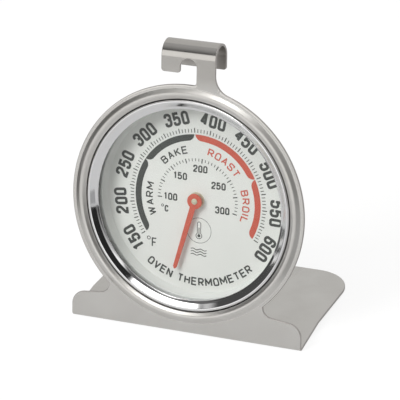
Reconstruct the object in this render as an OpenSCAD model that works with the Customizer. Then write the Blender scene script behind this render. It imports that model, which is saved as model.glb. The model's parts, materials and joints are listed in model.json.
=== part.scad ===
// Hanging and standing oven thermometer with a bimetal dial movement.
// Millimetres, +Z up. The origin is on the floor, under the middle of the object.
// Parts of the face are drawn in the face's own frame: x to the right, y up the face,
// z out towards the reader, with zero at the ring's centre on the flange's front.

/* [Stand] */
// Thickness of the stand's stainless sheet
sheet = 0.8; // [0.7:0.05:0.9]
// Angle by which the face leans back from upright
lean = 10.9; // [9:0.1:13]
// Distance from the ring's centre down the face to the sharp corner of the foot bend
foot_drop = 40.9; // [40.5:0.1:42]
// Half of the width of the feet and the base plate
foot_half = 38.1; // [37.5:0.1:39]
// Outside radius of the bend between the face and the base plate
bend_r = 1.2; // [1.1:0.1:1.5]
// Length of the base plate's front panel
front_len = 16.1; // [14:0.1:18]
// Angle by which the front panel rises towards the back
front_rise = 5.6; // [4:0.1:7]
// Length of the base plate's rear panel
rear_len = 33.2; // [30:0.1:36]
// Radius of the base plate's rear corners
rear_corner_r = 12; // [8:0.5:16]

/* [Ring] */
// Outer radius of the ring
ring_r = 38; // [37.5:0.1:38.5]
// Radius of the circle along the top of the raised bead
bead_r = 35; // [34.8:0.1:35.2]
// Radius of the bead's outside curve
bead_round = 1.5; // [1.4:0.05:1.6]
// Depth of the collar behind the bead
collar_depth = 5.5; // [5.5:0.1:6]

/* [Feet] */
// Half of the width between the two relief notches beside the ring
notch_half = 25.5; // [25:0.1:26]
// Radius of the relief notches
notch_r = 3.1; // [2.5:0.1:3.5]
// Distance from the ring's centre down to the bottom of the notches
notch_drop = 31.4; // [31:0.1:32]
// Angle by which the top edge of each foot falls outwards
lobe_fall = 7.2; // [5:0.1:9]
// Radius of the upper corner of each foot
lobe_r = 4.4; // [3:0.1:5]

/* [Hook] */
// Left end of the hook
hook_left = -9.1; // [-9.5:0.1:-8.5]
// Width of the free tab at the left
tab_w = 6.2; // [5.5:0.1:6.5]
// Width of the slot between the tab and the neck
slot_w = 5.3; // [5:0.1:6]
// Width of the neck
neck_w = 6.1; // [5.5:0.1:6.5]
// Outside radius of the roll
roll_r = 4.55; // [4.4:0.05:5]
// Height of the roll's centre above the ring's centre
roll_y = 46.05; // [45.5:0.05:46.5]
// Height of the lower end of the tab
tab_y = 41.35; // [41:0.05:42]
// Height of the lower end of the back leg
leg_y = 41.7; // [41:0.05:42]
// Radius where the neck's right edge flows into the ring
flare_r = 6; // [5:0.5:7]
// Radius where the neck's left edge meets the ring
nook_r = 1; // [0.8:0.1:1.5]
// Radius of the corners of the tab and the back leg
tab_corner_r = 0.9; // [0.5:0.1:1.2]

/* [Case] */
// Outer radius of the case's front tube
case_r = 32.7; // [32.65:0.01:32.7]
// Thickness of the case sheet
case_wall = 0.45; // [0.4:0.05:0.45]
// Outer radius of the case's rear drum
drum_r = 26; // [25:0.5:27]
// Distance from the flange's front back to the outside of the case
case_back = 15.5; // [15.5:0.1:16]
// Number of vent slots in the case back
vents = 8; // [8:8:8]

/* [Rim and glass] */
// Outer radius of the bezel's skirt
bezel_r = 33.2; // [33.18:0.01:33.25]
// Radius of the bezel's inner edge
bezel_in = 30; // [29.5:0.1:30.5]
// Thickness of the bezel sheet
bezel_wall = 0.45; // [0.4:0.05:0.45]
// Angle by which the bezel's face slopes back to the glass
bezel_slope = 37; // [32:1:38]
// Thickness of the glass
glass_t = 2; // [1.8:0.1:2]
// Radius of the dial's visible edge
dial_view_r = 29.4; // [29:0.1:29.8]

/* [Movement] */
// Radius of the pointer's staff
staff_r = 0.75; // [0.7:0.01:0.78]
// Radius of the staff's running holes
staff_hole_r = 0.8; // [0.8:0.01:0.84]
// Radius of the pointer's round hub
hub_r = 2.4; // [2.2:0.1:2.6]
// Length of the pointer from the staff to its tip
pointer_len = 23.2; // [22:0.1:24]
// Direction of the pointer at rest, in degrees clockwise from the top of the dial
pointer_rest = 195.8; // [190:0.1:200]
// Number of turns in the bimetal coil
coil_turns = 7; // [5:1:8]
// Thickness of the bimetal strip
coil_strip = 0.4; // [0.3:0.05:0.45]

/* [Hidden] */
round_fn = 144;
small_fn = 48;
arc_steps = 12;

// Clearances: a press fit, a loose fit and the staff's end play
press = 0.01;
loose = 0.02;
end_play = 0.03;

// Base plate: the rear panel falls just far enough for its edge to stand on the floor
bend_mid = (90 - lean + front_rise) / 2;
bend_half = (90 - lean - front_rise) / 2;
bend_reach = bend_r / sin(bend_half);
corner_z = bend_r - bend_reach * sin(bend_mid);
crease_z = corner_z + front_len * sin(front_rise);
rear_fall = asin(crease_z / rear_len);
crease_y = front_len * cos(front_rise);
base_depth = crease_y + rear_len * cos(rear_fall);
panel_top = -22;

// Place of the foot bend that centres the object front to back, between bead and rear edge
bead_level = -0.5;
bead_front = (foot_drop - bead_r) * sin(lean) - bead_level * cos(lean) - bead_round;
base_back = base_depth + sheet * sin(rear_fall);
front_y = -(bead_front + base_back) / 2;

// Levels behind the flange's front, front to back
gasket_z = -1.9;
gasket_t = 0.5;
glass_z = gasket_z - gasket_t;
spacer_z = glass_z - glass_t;
dial_z = -7.8;
dial_t = 0.4;
tube_front_z = -0.8;
shelf_z = dial_z - dial_t;
floor_z = -case_back + case_wall;
collar_r = bead_r - bead_round;
lip_r = case_r + 0.2;
flange_in_r = bead_r + 0.8;
inner_r = case_r - case_wall - 0.05;
case_corner = 1.2;
dial_r = case_r - case_corner - 0.05;

// Hook edges from left to right
tab_right = hook_left + tab_w;
neck_left = tab_right + slot_w;
neck_right = neck_left + neck_w;
slot_mid = (tab_right + neck_left) / 2;
slot_arc_y = 43.25;
hook_lap = 0.5;

// Movement levels and sizes
pointer_z = -6.3;
pointer_t = 0.35;
bush_top_z = -7.1;
bush_back_z = -9;
bush_tube_r = 1.3;
bush_boss_r = 1.5;
bush_flange_r = 2.5;
bush_flange_t = 0.4;
bush_washer_r = 2.6;
washer_t = 0.15;
pointer_washer_r = 1.4;
pointer_bush_r = 1.35;
staff_back_z = -15.7;
collet_r = 2.2;
collet_front_z = -9.4;
collet_back_z = -14.25;
coil_front_z = -10.4;
coil_back_z = -14;
coil_in_r = 2.75;
coil_out_r = 17;
coil_step = 15;
anchor_x = 17.25;
anchor_t = 0.4;
anchor_foot_end = 24;
anchor_half = 3.2;
rivet_x = 21;
rivet_y = 1.9;
rivet_r = 0.6;
bearing_body_r = 1.6;
bearing_flange_r = 3;
bearing_flange_t = 0.43;
bearing_clinch_r = 2.3;
bearing_clinch_t = 0.4;
thrust_r = 1.8;
vent_in = 12.5;
vent_out = 20;
vent_r = 1.2;

// Points on an arc, from angle a0 to angle a1
function arc(cx, cy, r, a0, a1) =
    [for (i = [0:arc_steps]) let (a = a0 + (a1 - a0) * i / arc_steps)
        [cx + r * cos(a), cy + r * sin(a)]];

// Radius of the bimetal coil's centre line after a number of degrees
function coil_r(a) = coil_in_r + (coil_out_r - coil_in_r) * a / (360 * coil_turns);

// Places the face's frame in the object's frame
module in_face() {
    translate([0, front_y, corner_z])
        rotate([90 - lean, 0, 0])
            translate([0, foot_drop, 0])
                children();
}

// A flat ring or disc between two levels
module washer(r_out, r_in, z_front, z_back, fn = small_fn) {
    translate([0, 0, z_back])
        difference() {
            cylinder(r = r_out, h = z_front - z_back, $fn = fn);
            translate([0, 0, -1])
                cylinder(r = r_in, h = z_front - z_back + 2, $fn = fn);
        }
}

// Outline of what is cut from the right of the foot panel, beside the ring
function foot_cut() =
    let (
        notch_x = notch_half + notch_r,
        notch_y = -notch_drop + notch_r,
        lobe_x = foot_half - lobe_r,
        top_x = notch_x - notch_r * sin(lobe_fall),
        top_y = notch_y - notch_r * cos(lobe_fall),
        edge_y = top_y - (lobe_x - top_x) * tan(lobe_fall),
        lobe_y = edge_y - lobe_r / cos(lobe_fall),
        above = panel_top + 1,
        beyond = foot_half + 1
    )
    concat(
        [[notch_half, above]],
        arc(notch_x, notch_y, notch_r, 180, 270 - lobe_fall),
        arc(lobe_x, lobe_y, lobe_r, 90 - lobe_fall, 0),
        [[beyond, lobe_y], [beyond, above]]
    );

// Outline of the neck and the tab, up to where the sheet starts to roll
module neck_outline() {
    flare_y = sqrt(pow(ring_r + flare_r, 2) - pow(neck_right + flare_r, 2));
    flare_a = atan2(-flare_y, -neck_right - flare_r);
    nook_x = neck_left - nook_r;
    nook_y = sqrt(pow(ring_r + nook_r, 2) - pow(nook_x, 2));
    nook_a = atan2(-nook_y, -nook_x);
    polygon(concat(
        arc(neck_right + flare_r, flare_y, flare_r, flare_a, -180),
        [[neck_right, roll_y - hook_lap], [hook_left, roll_y - hook_lap]],
        arc(hook_left + tab_corner_r, tab_y + tab_corner_r, tab_corner_r, 180, 270),
        arc(tab_right - tab_corner_r, tab_y + tab_corner_r, tab_corner_r, 270, 360),
        [[tab_right, slot_arc_y - 1], [neck_left, slot_arc_y - 1]],
        arc(nook_x, nook_y, nook_r, 0, nook_a)
    ));
}

// Cutter for the round top of the slot between the tab and the neck
module slot_cutter() {
    translate([slot_mid, slot_arc_y, -2 * sheet])
        cylinder(r = slot_w / 2, h = 3 * sheet, $fn = small_fn);
    translate([tab_right, slot_arc_y - 2, -2 * sheet])
        cube([slot_w, 2, 3 * sheet]);
}

// Flat sheet of the ring and the neck, open inside the bead
module face_sheet() {
    translate([0, 0, -sheet])
        linear_extrude(sheet)
            difference() {
                union() {
                    circle(r = ring_r, $fn = round_fn);
                    neck_outline();
                }
                circle(r = flange_in_r, $fn = round_fn);
            }
}

// Bead, collar and lip of the ring, pressed from the same sheet
module ring_pressing() {
    rotate_extrude($fn = round_fn) {
        difference() {
            translate([bead_r, bead_level])
                difference() {
                    circle(r = bead_round, $fn = small_fn);
                    circle(r = bead_round - sheet, $fn = small_fn);
                }
            translate([bead_r - 2, bead_level - 3])
                square([2, 3]);
            translate([bead_r - 0.1, -sheet - 3])
                square([3, 3]);
        }
        translate([collar_r, -collar_depth - sheet])
            square([sheet, collar_depth + sheet + bead_level]);
        translate([lip_r, -collar_depth - sheet])
            square([collar_r + sheet - lip_r, sheet]);
    }
}

// Rolled hook with its back leg
module hook_roll() {
    translate([hook_left, 0, 0])
        rotate([90, 0, 90])
            linear_extrude(neck_right - hook_left)
                translate([roll_y, -roll_r])
                    roll_section();
    translate([0, 0, -2 * roll_r])
        linear_extrude(sheet)
            polygon(concat(
                [[neck_right, roll_y - hook_lap], [hook_left, roll_y - hook_lap]],
                arc(hook_left + tab_corner_r, leg_y + tab_corner_r, tab_corner_r, 180, 270),
                arc(neck_right - tab_corner_r, leg_y + tab_corner_r, tab_corner_r, 270, 360)
            ));
}

// Side view of the roll with the start of both legs, up the face and out of it
module roll_section() {
    start = 2 * hook_lap;
    difference() {
        union() {
            circle(r = roll_r, $fn = round_fn);
            translate([-start, -roll_r])
                square([start, 2 * roll_r]);
        }
        circle(r = roll_r - sheet, $fn = round_fn);
        translate([-2 * roll_r, sheet - roll_r])
            square([2 * roll_r, 2 * (roll_r - sheet)]);
        translate([-2 * roll_r - start, -2 * roll_r])
            square([2 * roll_r, 4 * roll_r]);
    }
}

// Side view of the foot bend and the base plate, y to the back and z up
module base_section() {
    face_a = 90 - lean;
    centre = bend_reach * [cos(bend_mid), sin(bend_mid)];
    top = (foot_drop + panel_top) * [cos(face_a), sin(face_a)];
    crease = front_len * [cos(front_rise), sin(front_rise)];
    edge = crease + rear_len * [cos(rear_fall), -sin(rear_fall)];
    mid_fall = (rear_fall - front_rise) / 2;
    miter = sheet / cos((front_rise + rear_fall) / 2);
    outer_arc = arc(centre[0], centre[1], bend_r, face_a + 90, front_rise + 270);
    inner_arc = arc(centre[0], centre[1], bend_r - sheet, front_rise + 270, face_a + 90);
    polygon(concat(
        [top], outer_arc,
        [
            crease, edge, edge + sheet * [sin(rear_fall), cos(rear_fall)],
            crease + miter * [sin(mid_fall), cos(mid_fall)]
        ],
        inner_arc, [top + sheet * [sin(face_a), -cos(face_a)]]
    ));
}

// Foot panel and base plate, bent from one piece
module foot_and_base() {
    difference() {
        translate([0, front_y, corner_z])
            rotate([90, 0, 90])
                translate([0, 0, -foot_half])
                    linear_extrude(2 * foot_half)
                        base_section();
        for (side = [-1, 1])
            rear_corner(side);
        in_face()
            translate([0, 0, -2 * sheet])
                linear_extrude(3 * sheet) {
                    circle(r = flange_in_r, $fn = round_fn);
                    polygon(foot_cut());
                    mirror([1, 0])
                        polygon(foot_cut());
                }
    }
}

// Block that cuts one rear corner of the base plate round
module rear_corner(side) {
    translate([side * (foot_half - rear_corner_r), front_y + base_depth - rear_corner_r, -5])
        linear_extrude(20)
            difference() {
                translate([side > 0 ? 0 : -2 * rear_corner_r, 0])
                    square(2 * rear_corner_r);
                circle(r = rear_corner_r, $fn = round_fn);
            }
}

module stand_frame() {
    color([0.74, 0.73, 0.70]) {
        in_face()
            difference() {
                union() {
                    face_sheet();
                    ring_pressing();
                    hook_roll();
                }
                slot_cutter();
            }
        foot_and_base();
    }
}

// Drawn cup: front tube, shelf for the dial, rear drum and vented back
module rear_case() {
    color([0.70, 0.70, 0.68])
        in_face()
            difference() {
                rotate_extrude($fn = round_fn)
                    case_section();
                for (i = [0:vents - 1])
                    rotate(360 / vents * (i + 0.5))
                        vent_slot();
                translate([0, 0, -case_back - 1])
                    cylinder(r = bearing_body_r + loose, h = 3, $fn = small_fn);
                for (side = [-1, 1])
                    translate([rivet_x, side * rivet_y, -case_back - 1])
                        cylinder(r = rivet_r + loose, h = 3, $fn = small_fn);
            }
}

// Section of the case sheet, with rounded outside corners
module case_section() {
    shelf_mid = shelf_z - case_wall + case_corner;
    drum_mid = case_corner - case_back;
    inside = case_corner - case_wall;
    polygon(concat(
        [[case_r, tube_front_z]],
        arc(case_r - case_corner, shelf_mid, case_corner, 0, -90),
        [[drum_r, shelf_z - case_wall]],
        arc(drum_r - case_corner, drum_mid, case_corner, 0, -90),
        [[0, -case_back], [0, floor_z]],
        arc(drum_r - case_corner, drum_mid, inside, -90, 0),
        [[drum_r - case_wall, shelf_z]],
        arc(case_r - case_corner, shelf_mid, inside, -90, 0),
        [[case_r - case_wall, tube_front_z]]
    ));
}

// One vent slot with round ends, cut through the case back
module vent_slot() {
    translate([0, 0, -case_back - 1])
        linear_extrude(3) {
            translate([vent_in, -vent_r])
                square([vent_out - vent_in, 2 * vent_r]);
            for (x = [vent_in, vent_out])
                translate([x, 0])
                    circle(r = vent_r, $fn = small_fn);
        }
}

// Split spring ring that grips the case behind the collar's lip
module case_retaining_ring() {
    gap = 24;
    wire_t = 0.8;
    wire_w = 1.2;
    ring_front = -collar_depth - sheet - loose;
    color([0.45, 0.46, 0.48])
        in_face()
            rotate(-90 + gap / 2)
                rotate_extrude(angle = 360 - gap, $fn = round_fn)
                    translate([case_r + loose, ring_front - wire_t])
                        square([wire_w, wire_t]);
}

// Chrome rim: skirt, rolled crest and a face that slopes back to the glass
module bezel_ring() {
    crest = 0.65;
    crest_r = bezel_r - crest;
    crest_z = -0.35;
    skirt_z = -collar_depth + 0.05;
    hem = bezel_wall / 2;
    face_len = (crest_r - crest * sin(bezel_slope) - bezel_in) / cos(bezel_slope) - hem;
    color([0.85, 0.85, 0.87])
        in_face()
            rotate_extrude($fn = round_fn) {
                translate([bezel_r - bezel_wall, skirt_z])
                    square([bezel_wall, crest_z - skirt_z]);
                translate([crest_r, crest_z])
                    difference() {
                        circle(r = crest, $fn = small_fn);
                        circle(r = crest - bezel_wall, $fn = small_fn);
                        translate([-2, -2])
                            square([4, 2]);
                        rotate(90 + bezel_slope)
                            square([2, 2]);
                    }
                translate([crest_r, crest_z])
                    rotate(bezel_slope)
                        translate([-face_len, crest - bezel_wall]) {
                            square([face_len, bezel_wall]);
                            translate([0, hem])
                                circle(r = hem, $fn = small_fn);
                        }
            }
}

module lens_gasket() {
    color([0.25, 0.25, 0.26])
        in_face()
            washer(inner_r, bezel_in + 0.4, gasket_z, glass_z, round_fn);
}

module glass_lens() {
    color([0.85, 0.92, 0.95, 0.3])
        in_face()
            translate([0, 0, spacer_z])
                cylinder(r = inner_r, h = glass_t, $fn = round_fn);
}

// Pressed ring that keeps the glass off the dial and closes the view at the side
module spacer_ring() {
    wall = 0.5;
    top_r = dial_view_r + 0.9;
    color([0.62, 0.63, 0.62])
        in_face()
            rotate_extrude($fn = round_fn)
                polygon([
                    [top_r, spacer_z], [inner_r, spacer_z], [inner_r, spacer_z - wall],
                    [top_r + wall, spacer_z - wall], [dial_view_r + wall, dial_z],
                    [dial_view_r, dial_z]
                ]);
}

module dial_plate() {
    color([0.90, 0.90, 0.88])
        in_face()
            washer(dial_r, bush_tube_r + loose, dial_z, shelf_z, round_fn);
}

// Flanged bush in the middle of the dial that carries the staff's front end
module dial_bush() {
    color([0.86, 0.82, 0.70])
        in_face()
            difference() {
                union() {
                    translate([0, 0, bush_back_z])
                        cylinder(r = bush_tube_r, h = bush_top_z - bush_back_z, $fn = small_fn);
                    translate([0, 0, dial_z])
                        cylinder(r = bush_flange_r, h = bush_flange_t, $fn = small_fn);
                    translate([0, 0, dial_z])
                        cylinder(r = bush_boss_r, h = bush_top_z - dial_z, $fn = small_fn);
                }
                translate([0, 0, bush_back_z - 1])
                    cylinder(r = staff_hole_r, h = bush_top_z - bush_back_z + 2, $fn = small_fn);
            }
}

// Clinch washer that holds the bush behind the dial
module bush_washer() {
    color([0.78, 0.66, 0.40])
        in_face()
            washer(bush_washer_r, bush_tube_r + loose, shelf_z, shelf_z - bush_flange_t);
}

// Thin thrust washer between the dial bush and the pointer bush
module pointer_washer() {
    color([0.75, 0.75, 0.76])
        in_face()
            washer(pointer_washer_r, staff_hole_r + loose, bush_top_z + washer_t, bush_top_z);
}

// Shoulder pressed on the staff under the pointer
module pointer_bush() {
    color([0.80, 0.72, 0.50])
        in_face()
            washer(pointer_bush_r, staff_r + press, pointer_z, bush_top_z + washer_t + end_play);
}

// Flat pointer with a round hub and a blade that narrows to its tip
module pointer() {
    root_half = 0.95;
    tip_half = 0.62;
    tip_len = 0.7;
    end_half = 0.25;
    color([0.80, 0.22, 0.18])
        in_face()
            translate([0, 0, pointer_z])
                difference() {
                    linear_extrude(pointer_t)
                        rotate(-pointer_rest)
                            union() {
                                circle(r = hub_r, $fn = small_fn);
                                polygon([
                                    [-root_half, 0], [root_half, 0],
                                    [tip_half, pointer_len - tip_len],
                                    [end_half, pointer_len],
                                    [-end_half, pointer_len],
                                    [-tip_half, pointer_len - tip_len]
                                ]);
                            }
                    translate([0, 0, -1])
                        cylinder(r = staff_r + press, h = 3, $fn = small_fn);
                }
}

// Staff with a domed head riveted over the pointer
module pointer_staff() {
    head_r = 0.95;
    head_z = pointer_z + pointer_t;
    dome_r = 1.6;
    dome_top = 0.4;
    color([0.86, 0.83, 0.72])
        in_face() {
            translate([0, 0, staff_back_z])
                cylinder(r = staff_r, h = head_z + dome_top / 4 - staff_back_z, $fn = small_fn);
            intersection() {
                translate([0, 0, head_z])
                    cylinder(r = head_r, h = 1, $fn = small_fn);
                translate([0, 0, head_z + dome_top - dome_r])
                    sphere(r = dome_r, $fn = small_fn);
            }
        }
}

// Collet on the staff, slotted for the coil's inner end
module coil_collet() {
    slot_play = 0.05;
    slot_start = 1.3;
    slot_half = coil_strip / 2 + slot_play;
    color([0.78, 0.66, 0.40])
        in_face()
            difference() {
                washer(collet_r, staff_r + press, collet_front_z, collet_back_z);
                translate([slot_start, -slot_half, coil_back_z - slot_play])
                    cube([collet_r, 2 * slot_half, collet_front_z - coil_back_z + 1]);
            }
}

// Spiral bimetal strip, fixed outside to the bracket and inside to the collet
module bimetal_coil() {
    full = 360 * coil_turns;
    half = coil_strip / 2;
    tongue_start = 1.5;
    outer = [for (a = [0:coil_step:full]) let (r = coil_r(a) + half) [r * cos(a), r * sin(a)]];
    inner = [for (a = [full:-coil_step:0]) let (r = coil_r(a) - half) [r * cos(a), r * sin(a)]];
    color([0.60, 0.56, 0.50])
        in_face()
            translate([0, 0, coil_back_z])
                linear_extrude(coil_front_z - coil_back_z)
                    union() {
                        polygon(concat(outer, inner));
                        translate([tongue_start, -half])
                            square([coil_in_r - tongue_start, coil_strip]);
                    }
}

// Bent bracket that holds the coil's outer end to the case back
module coil_anchor() {
    color([0.66, 0.67, 0.68])
        in_face()
            difference() {
                union() {
                    translate([anchor_x, -anchor_half, floor_z])
                        cube([anchor_t, 2 * anchor_half, coil_front_z - floor_z]);
                    translate([anchor_x, -anchor_half, floor_z])
                        cube([anchor_foot_end - anchor_x, 2 * anchor_half, anchor_t]);
                }
                for (side = [-1, 1])
                    translate([rivet_x, side * rivet_y, floor_z - 1])
                        cylinder(r = rivet_r + loose, h = 3, $fn = small_fn);
            }
}

// Two rivets through the bracket's foot and the case back
module anchor_rivets() {
    head_r = 1.15;
    head_t = 0.5;
    color([0.72, 0.72, 0.73])
        in_face()
            for (side = [-1, 1])
                translate([rivet_x, side * rivet_y, 0]) {
                    translate([0, 0, -case_back - head_t])
                        cylinder(r = rivet_r, h = case_wall + anchor_t + 2 * head_t,
                            $fn = small_fn);
                    translate([0, 0, -case_back - head_t])
                        cylinder(r = head_r, h = head_t, $fn = small_fn);
                    translate([0, 0, floor_z + anchor_t])
                        cylinder(r = head_r, h = head_t, $fn = small_fn);
                }
}

// Flanged bush clinched in the case back, the staff's rear bearing
module back_bearing() {
    color([0.78, 0.66, 0.40])
        in_face()
            difference() {
                union() {
                    translate([0, 0, -case_back - bearing_clinch_t])
                        cylinder(r = bearing_body_r, h = case_wall + bearing_clinch_t + 0.2,
                            $fn = small_fn);
                    translate([0, 0, floor_z])
                        cylinder(r = bearing_flange_r, h = bearing_flange_t, $fn = small_fn);
                    translate([0, 0, -case_back - bearing_clinch_t])
                        cylinder(r = bearing_clinch_r, h = bearing_clinch_t, $fn = small_fn);
                }
                translate([0, 0, -case_back - 1])
                    cylinder(r = staff_hole_r, h = 3, $fn = small_fn);
            }
}

// Washer between the collet and the back bearing
module thrust_washer() {
    color([0.75, 0.75, 0.76])
        in_face()
            washer(thrust_r, staff_hole_r + loose, collet_back_z - end_play,
                floor_z + bearing_flange_t + loose);
}

stand_frame();
rear_case();
case_retaining_ring();
bezel_ring();
lens_gasket();
glass_lens();
spacer_ring();
dial_plate();
dial_bush();
bush_washer();
pointer_washer();
pointer_bush();
pointer();
pointer_staff();
coil_collet();
bimetal_coil();
coil_anchor();
anchor_rivets();
back_bearing();
thrust_washer();
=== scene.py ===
# Looks of a bimetal dial oven thermometer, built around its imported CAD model.
# Lengths are millimetres in the face's own frame: x to the reader's right, y up the face and
# z out towards the reader, from the ring's centre on the flange's front. FACE turns them into
# metres in the CAD frame. Angles on the dial are degrees clockwise from its top.

import json
import math

import bmesh
import bpy
from mathutils import Matrix, Vector
from mathutils.geometry import delaunay_2d_cdt


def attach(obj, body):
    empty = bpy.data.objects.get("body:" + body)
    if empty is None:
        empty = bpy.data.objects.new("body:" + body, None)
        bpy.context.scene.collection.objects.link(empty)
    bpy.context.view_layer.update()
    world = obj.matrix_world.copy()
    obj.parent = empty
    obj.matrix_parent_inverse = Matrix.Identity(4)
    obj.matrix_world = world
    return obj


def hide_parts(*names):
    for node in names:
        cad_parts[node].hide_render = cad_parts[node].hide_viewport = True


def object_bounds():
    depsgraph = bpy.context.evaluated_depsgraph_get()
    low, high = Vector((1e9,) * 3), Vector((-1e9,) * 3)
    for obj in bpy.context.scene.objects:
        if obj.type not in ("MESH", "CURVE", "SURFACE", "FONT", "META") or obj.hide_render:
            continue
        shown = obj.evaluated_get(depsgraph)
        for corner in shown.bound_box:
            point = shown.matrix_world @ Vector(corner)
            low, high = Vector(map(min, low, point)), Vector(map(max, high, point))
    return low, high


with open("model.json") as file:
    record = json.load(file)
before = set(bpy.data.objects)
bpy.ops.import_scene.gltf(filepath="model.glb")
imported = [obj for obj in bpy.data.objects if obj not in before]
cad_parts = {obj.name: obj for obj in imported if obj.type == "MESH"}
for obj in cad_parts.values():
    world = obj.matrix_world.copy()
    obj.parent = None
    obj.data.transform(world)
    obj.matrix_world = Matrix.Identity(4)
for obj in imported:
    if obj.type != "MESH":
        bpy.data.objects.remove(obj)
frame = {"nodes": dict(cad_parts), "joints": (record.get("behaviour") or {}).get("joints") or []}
cad_low, cad_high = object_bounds()

MM = 0.001
JOINT = frame["joints"][0]
JOINT_LEVEL = -7.0
OUT = -Vector(JOINT["axis"]).normalized()
RIGHT = Vector((1, 0, 0))
UP = OUT.cross(RIGHT)
TURN = Matrix((RIGHT, UP, OUT)).transposed()
CENTRE = Vector(JOINT["pos_m"]) - OUT * JOINT_LEVEL * MM
FACE = Matrix.Translation(CENTRE) @ TURN.to_4x4() @ Matrix.Scale(MM, 4)
LEAN = math.asin(UP.y)

# Stand: one pressed, bent and rolled sheet
SHEET = 0.8
EDGE = 0.17
RING_R = 38.0
PLATE_HOLE_R = 37.15
BEAD_R, BEAD_ROUND, BEAD_FOOT_R, BEAD_APEX = 35.0, 1.5, 36.85, 1.3
COLLAR_BACK = -5.5
COLLAR_BEND = 0.3
LIP_R = 32.9
FOOT_DROP = 40.9
FOOT_HALF = cad_high.x / MM
BEND_R = 1.2
FRONT_LEN, FRONT_RISE = 16.1, math.radians(5.6)
REAR_LEN, REAR_CORNER = 33.2, 12.0
CREASE_R = 1.5
NOTCH_HALF, NOTCH_R, NOTCH_DROP = 25.5, 3.1, 31.4
LOBE_FALL, LOBE_R = 7.2, 4.4
HOOK_LEFT, TAB_W, SLOT_W, NECK_W = -9.1, 6.2, 5.3, 6.1
ROLL_R, ROLL_Y, TAB_Y, LEG_Y = 4.55, 46.05, 41.35, 41.7
SLOT_ARC_Y, FLARE_R, NOOK_R, TAB_CORNER = 43.25, 6.0, 1.0, 0.9
REVERSE_Y = 40.5
HEAD_ON = 0.026  # share of light that the glass mirrors head on

# Case, rim, glass and dial, as radii and levels behind the flange's front
CASE_R, CASE_WALL, CASE_CORNER, CASE_BACK = 32.7, 0.45, 1.2, -15.5
CASE_FRONT = -0.8
DRUM_R = 26.0
VENTS, VENT_IN, VENT_OUT, VENT_R = 8, 12.5, 20.0, 1.2
RIM_R, RIM_IN, RIM_WALL, RIM_CREST = 33.2, 30.0, 0.45, 0.65
RIM_STEEP, RIM_GENTLE, RIM_SHELF = 39, 31, 0.9
RIM_CREST_LEVEL = -0.35
SEAT_R = 32.2
GASKET_LEVEL, GLASS_LEVEL, SPACER_LEVEL, DIAL_LEVEL, SHELF_LEVEL = -1.9, -2.4, -4.4, -7.8, -8.2
VIEW_R = 29.4
DIAL_R = CASE_R - CASE_CORNER - 0.05

# Movement
STAFF_R, HOLE_R = 0.75, 0.8
POINTER_LEVEL, POINTER_T, POINTER_LEN, POINTER_REST = -6.3, 0.35, 23.2, 195.8
HUB_R = 2.4
RIVET_X, RIVET_Y = 21.0, 1.9
COIL_FRONT, COIL_BACK, COIL_IN, COIL_OUT, COIL_TURNS, COIL_STRIP = -10.4, -14.0, 2.75, 17.0, 7, 0.4

# Printing on the dial
INK_T, INK_SINK = 0.025, 0.01
PRINT_SHIFT = Vector((0.3, 0.0))
DEG_PER_F, TOP_F = 0.5418, 381.8
SEGMENTS = 288


# ---------------------------------------------------------------- outlines

def polar(radius, degrees, centre=(0, 0)):
    """Point at an ordinary angle, anticlockwise from +x."""
    a = math.radians(degrees)
    return Vector((centre[0] + radius * math.cos(a), centre[1] + radius * math.sin(a)))


def clock(radius, degrees):
    """Point on the dial at an angle clockwise from its top."""
    return polar(radius, 90 - degrees)


def arc(cx, cy, radius, a0, a1, step=4.0):
    count = max(2, math.ceil(abs(a1 - a0) / step))
    return [polar(radius, a0 + (a1 - a0) * i / count, (cx, cy)) for i in range(count + 1)]


def fillet(points, radii, closed=True, steps=6):
    """The outline with its corners rounded, each by its own radius; 0 keeps a corner sharp."""
    points = [Vector(p) for p in points]
    radii = radii if isinstance(radii, (list, tuple)) else [radii] * len(points)
    out = []
    for i, p in enumerate(points):
        if radii[i] == 0 or not closed and i in (0, len(points) - 1):
            out.append(p)
            continue
        before, after = points[i - 1] - p, points[(i + 1) % len(points)] - p
        half = before.angle(after) / 2
        if half > math.radians(89.5):
            out.append(p)
            continue
        cut = min(radii[i] / math.tan(half), before.length * 0.499, after.length * 0.499)
        radius = cut * math.tan(half)
        mid = p + (before.normalized() + after.normalized()).normalized() * radius / math.sin(half)
        start, end = p + before.normalized() * cut - mid, p + after.normalized() * cut - mid
        a0 = math.atan2(start.y, start.x)
        sweep = (math.atan2(end.y, end.x) - a0 + math.pi) % (2 * math.pi) - math.pi
        out += [mid + radius * Vector((math.cos(a0 + sweep * k / steps),
                                       math.sin(a0 + sweep * k / steps))) for k in range(steps + 1)]
    return out


def inset(loop, depth):
    """A closed loop moved to its left by depth, with mitred corners."""
    out = []
    for i, p in enumerate(loop):
        a = (p - loop[i - 1]).normalized()
        b = (loop[(i + 1) % len(loop)] - p).normalized()
        left = Vector((-a.y - b.y, a.x + b.x))
        out.append(p + left * depth / max(1 + a.dot(b), 0.5))
    return out


def edge_profile(thickness, radius, steps=3):
    """How far in and how deep each step of a rounded sheet edge lies, front to back."""
    front, back = [], []
    for k in range(steps + 1):
        a = math.pi / 2 * k / steps
        front.append((radius * (1 - math.sin(a)), radius * (1 - math.cos(a))))
        back.append((radius * (1 - math.cos(a)), thickness - radius * (1 - math.sin(a))))
    return front + back


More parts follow.
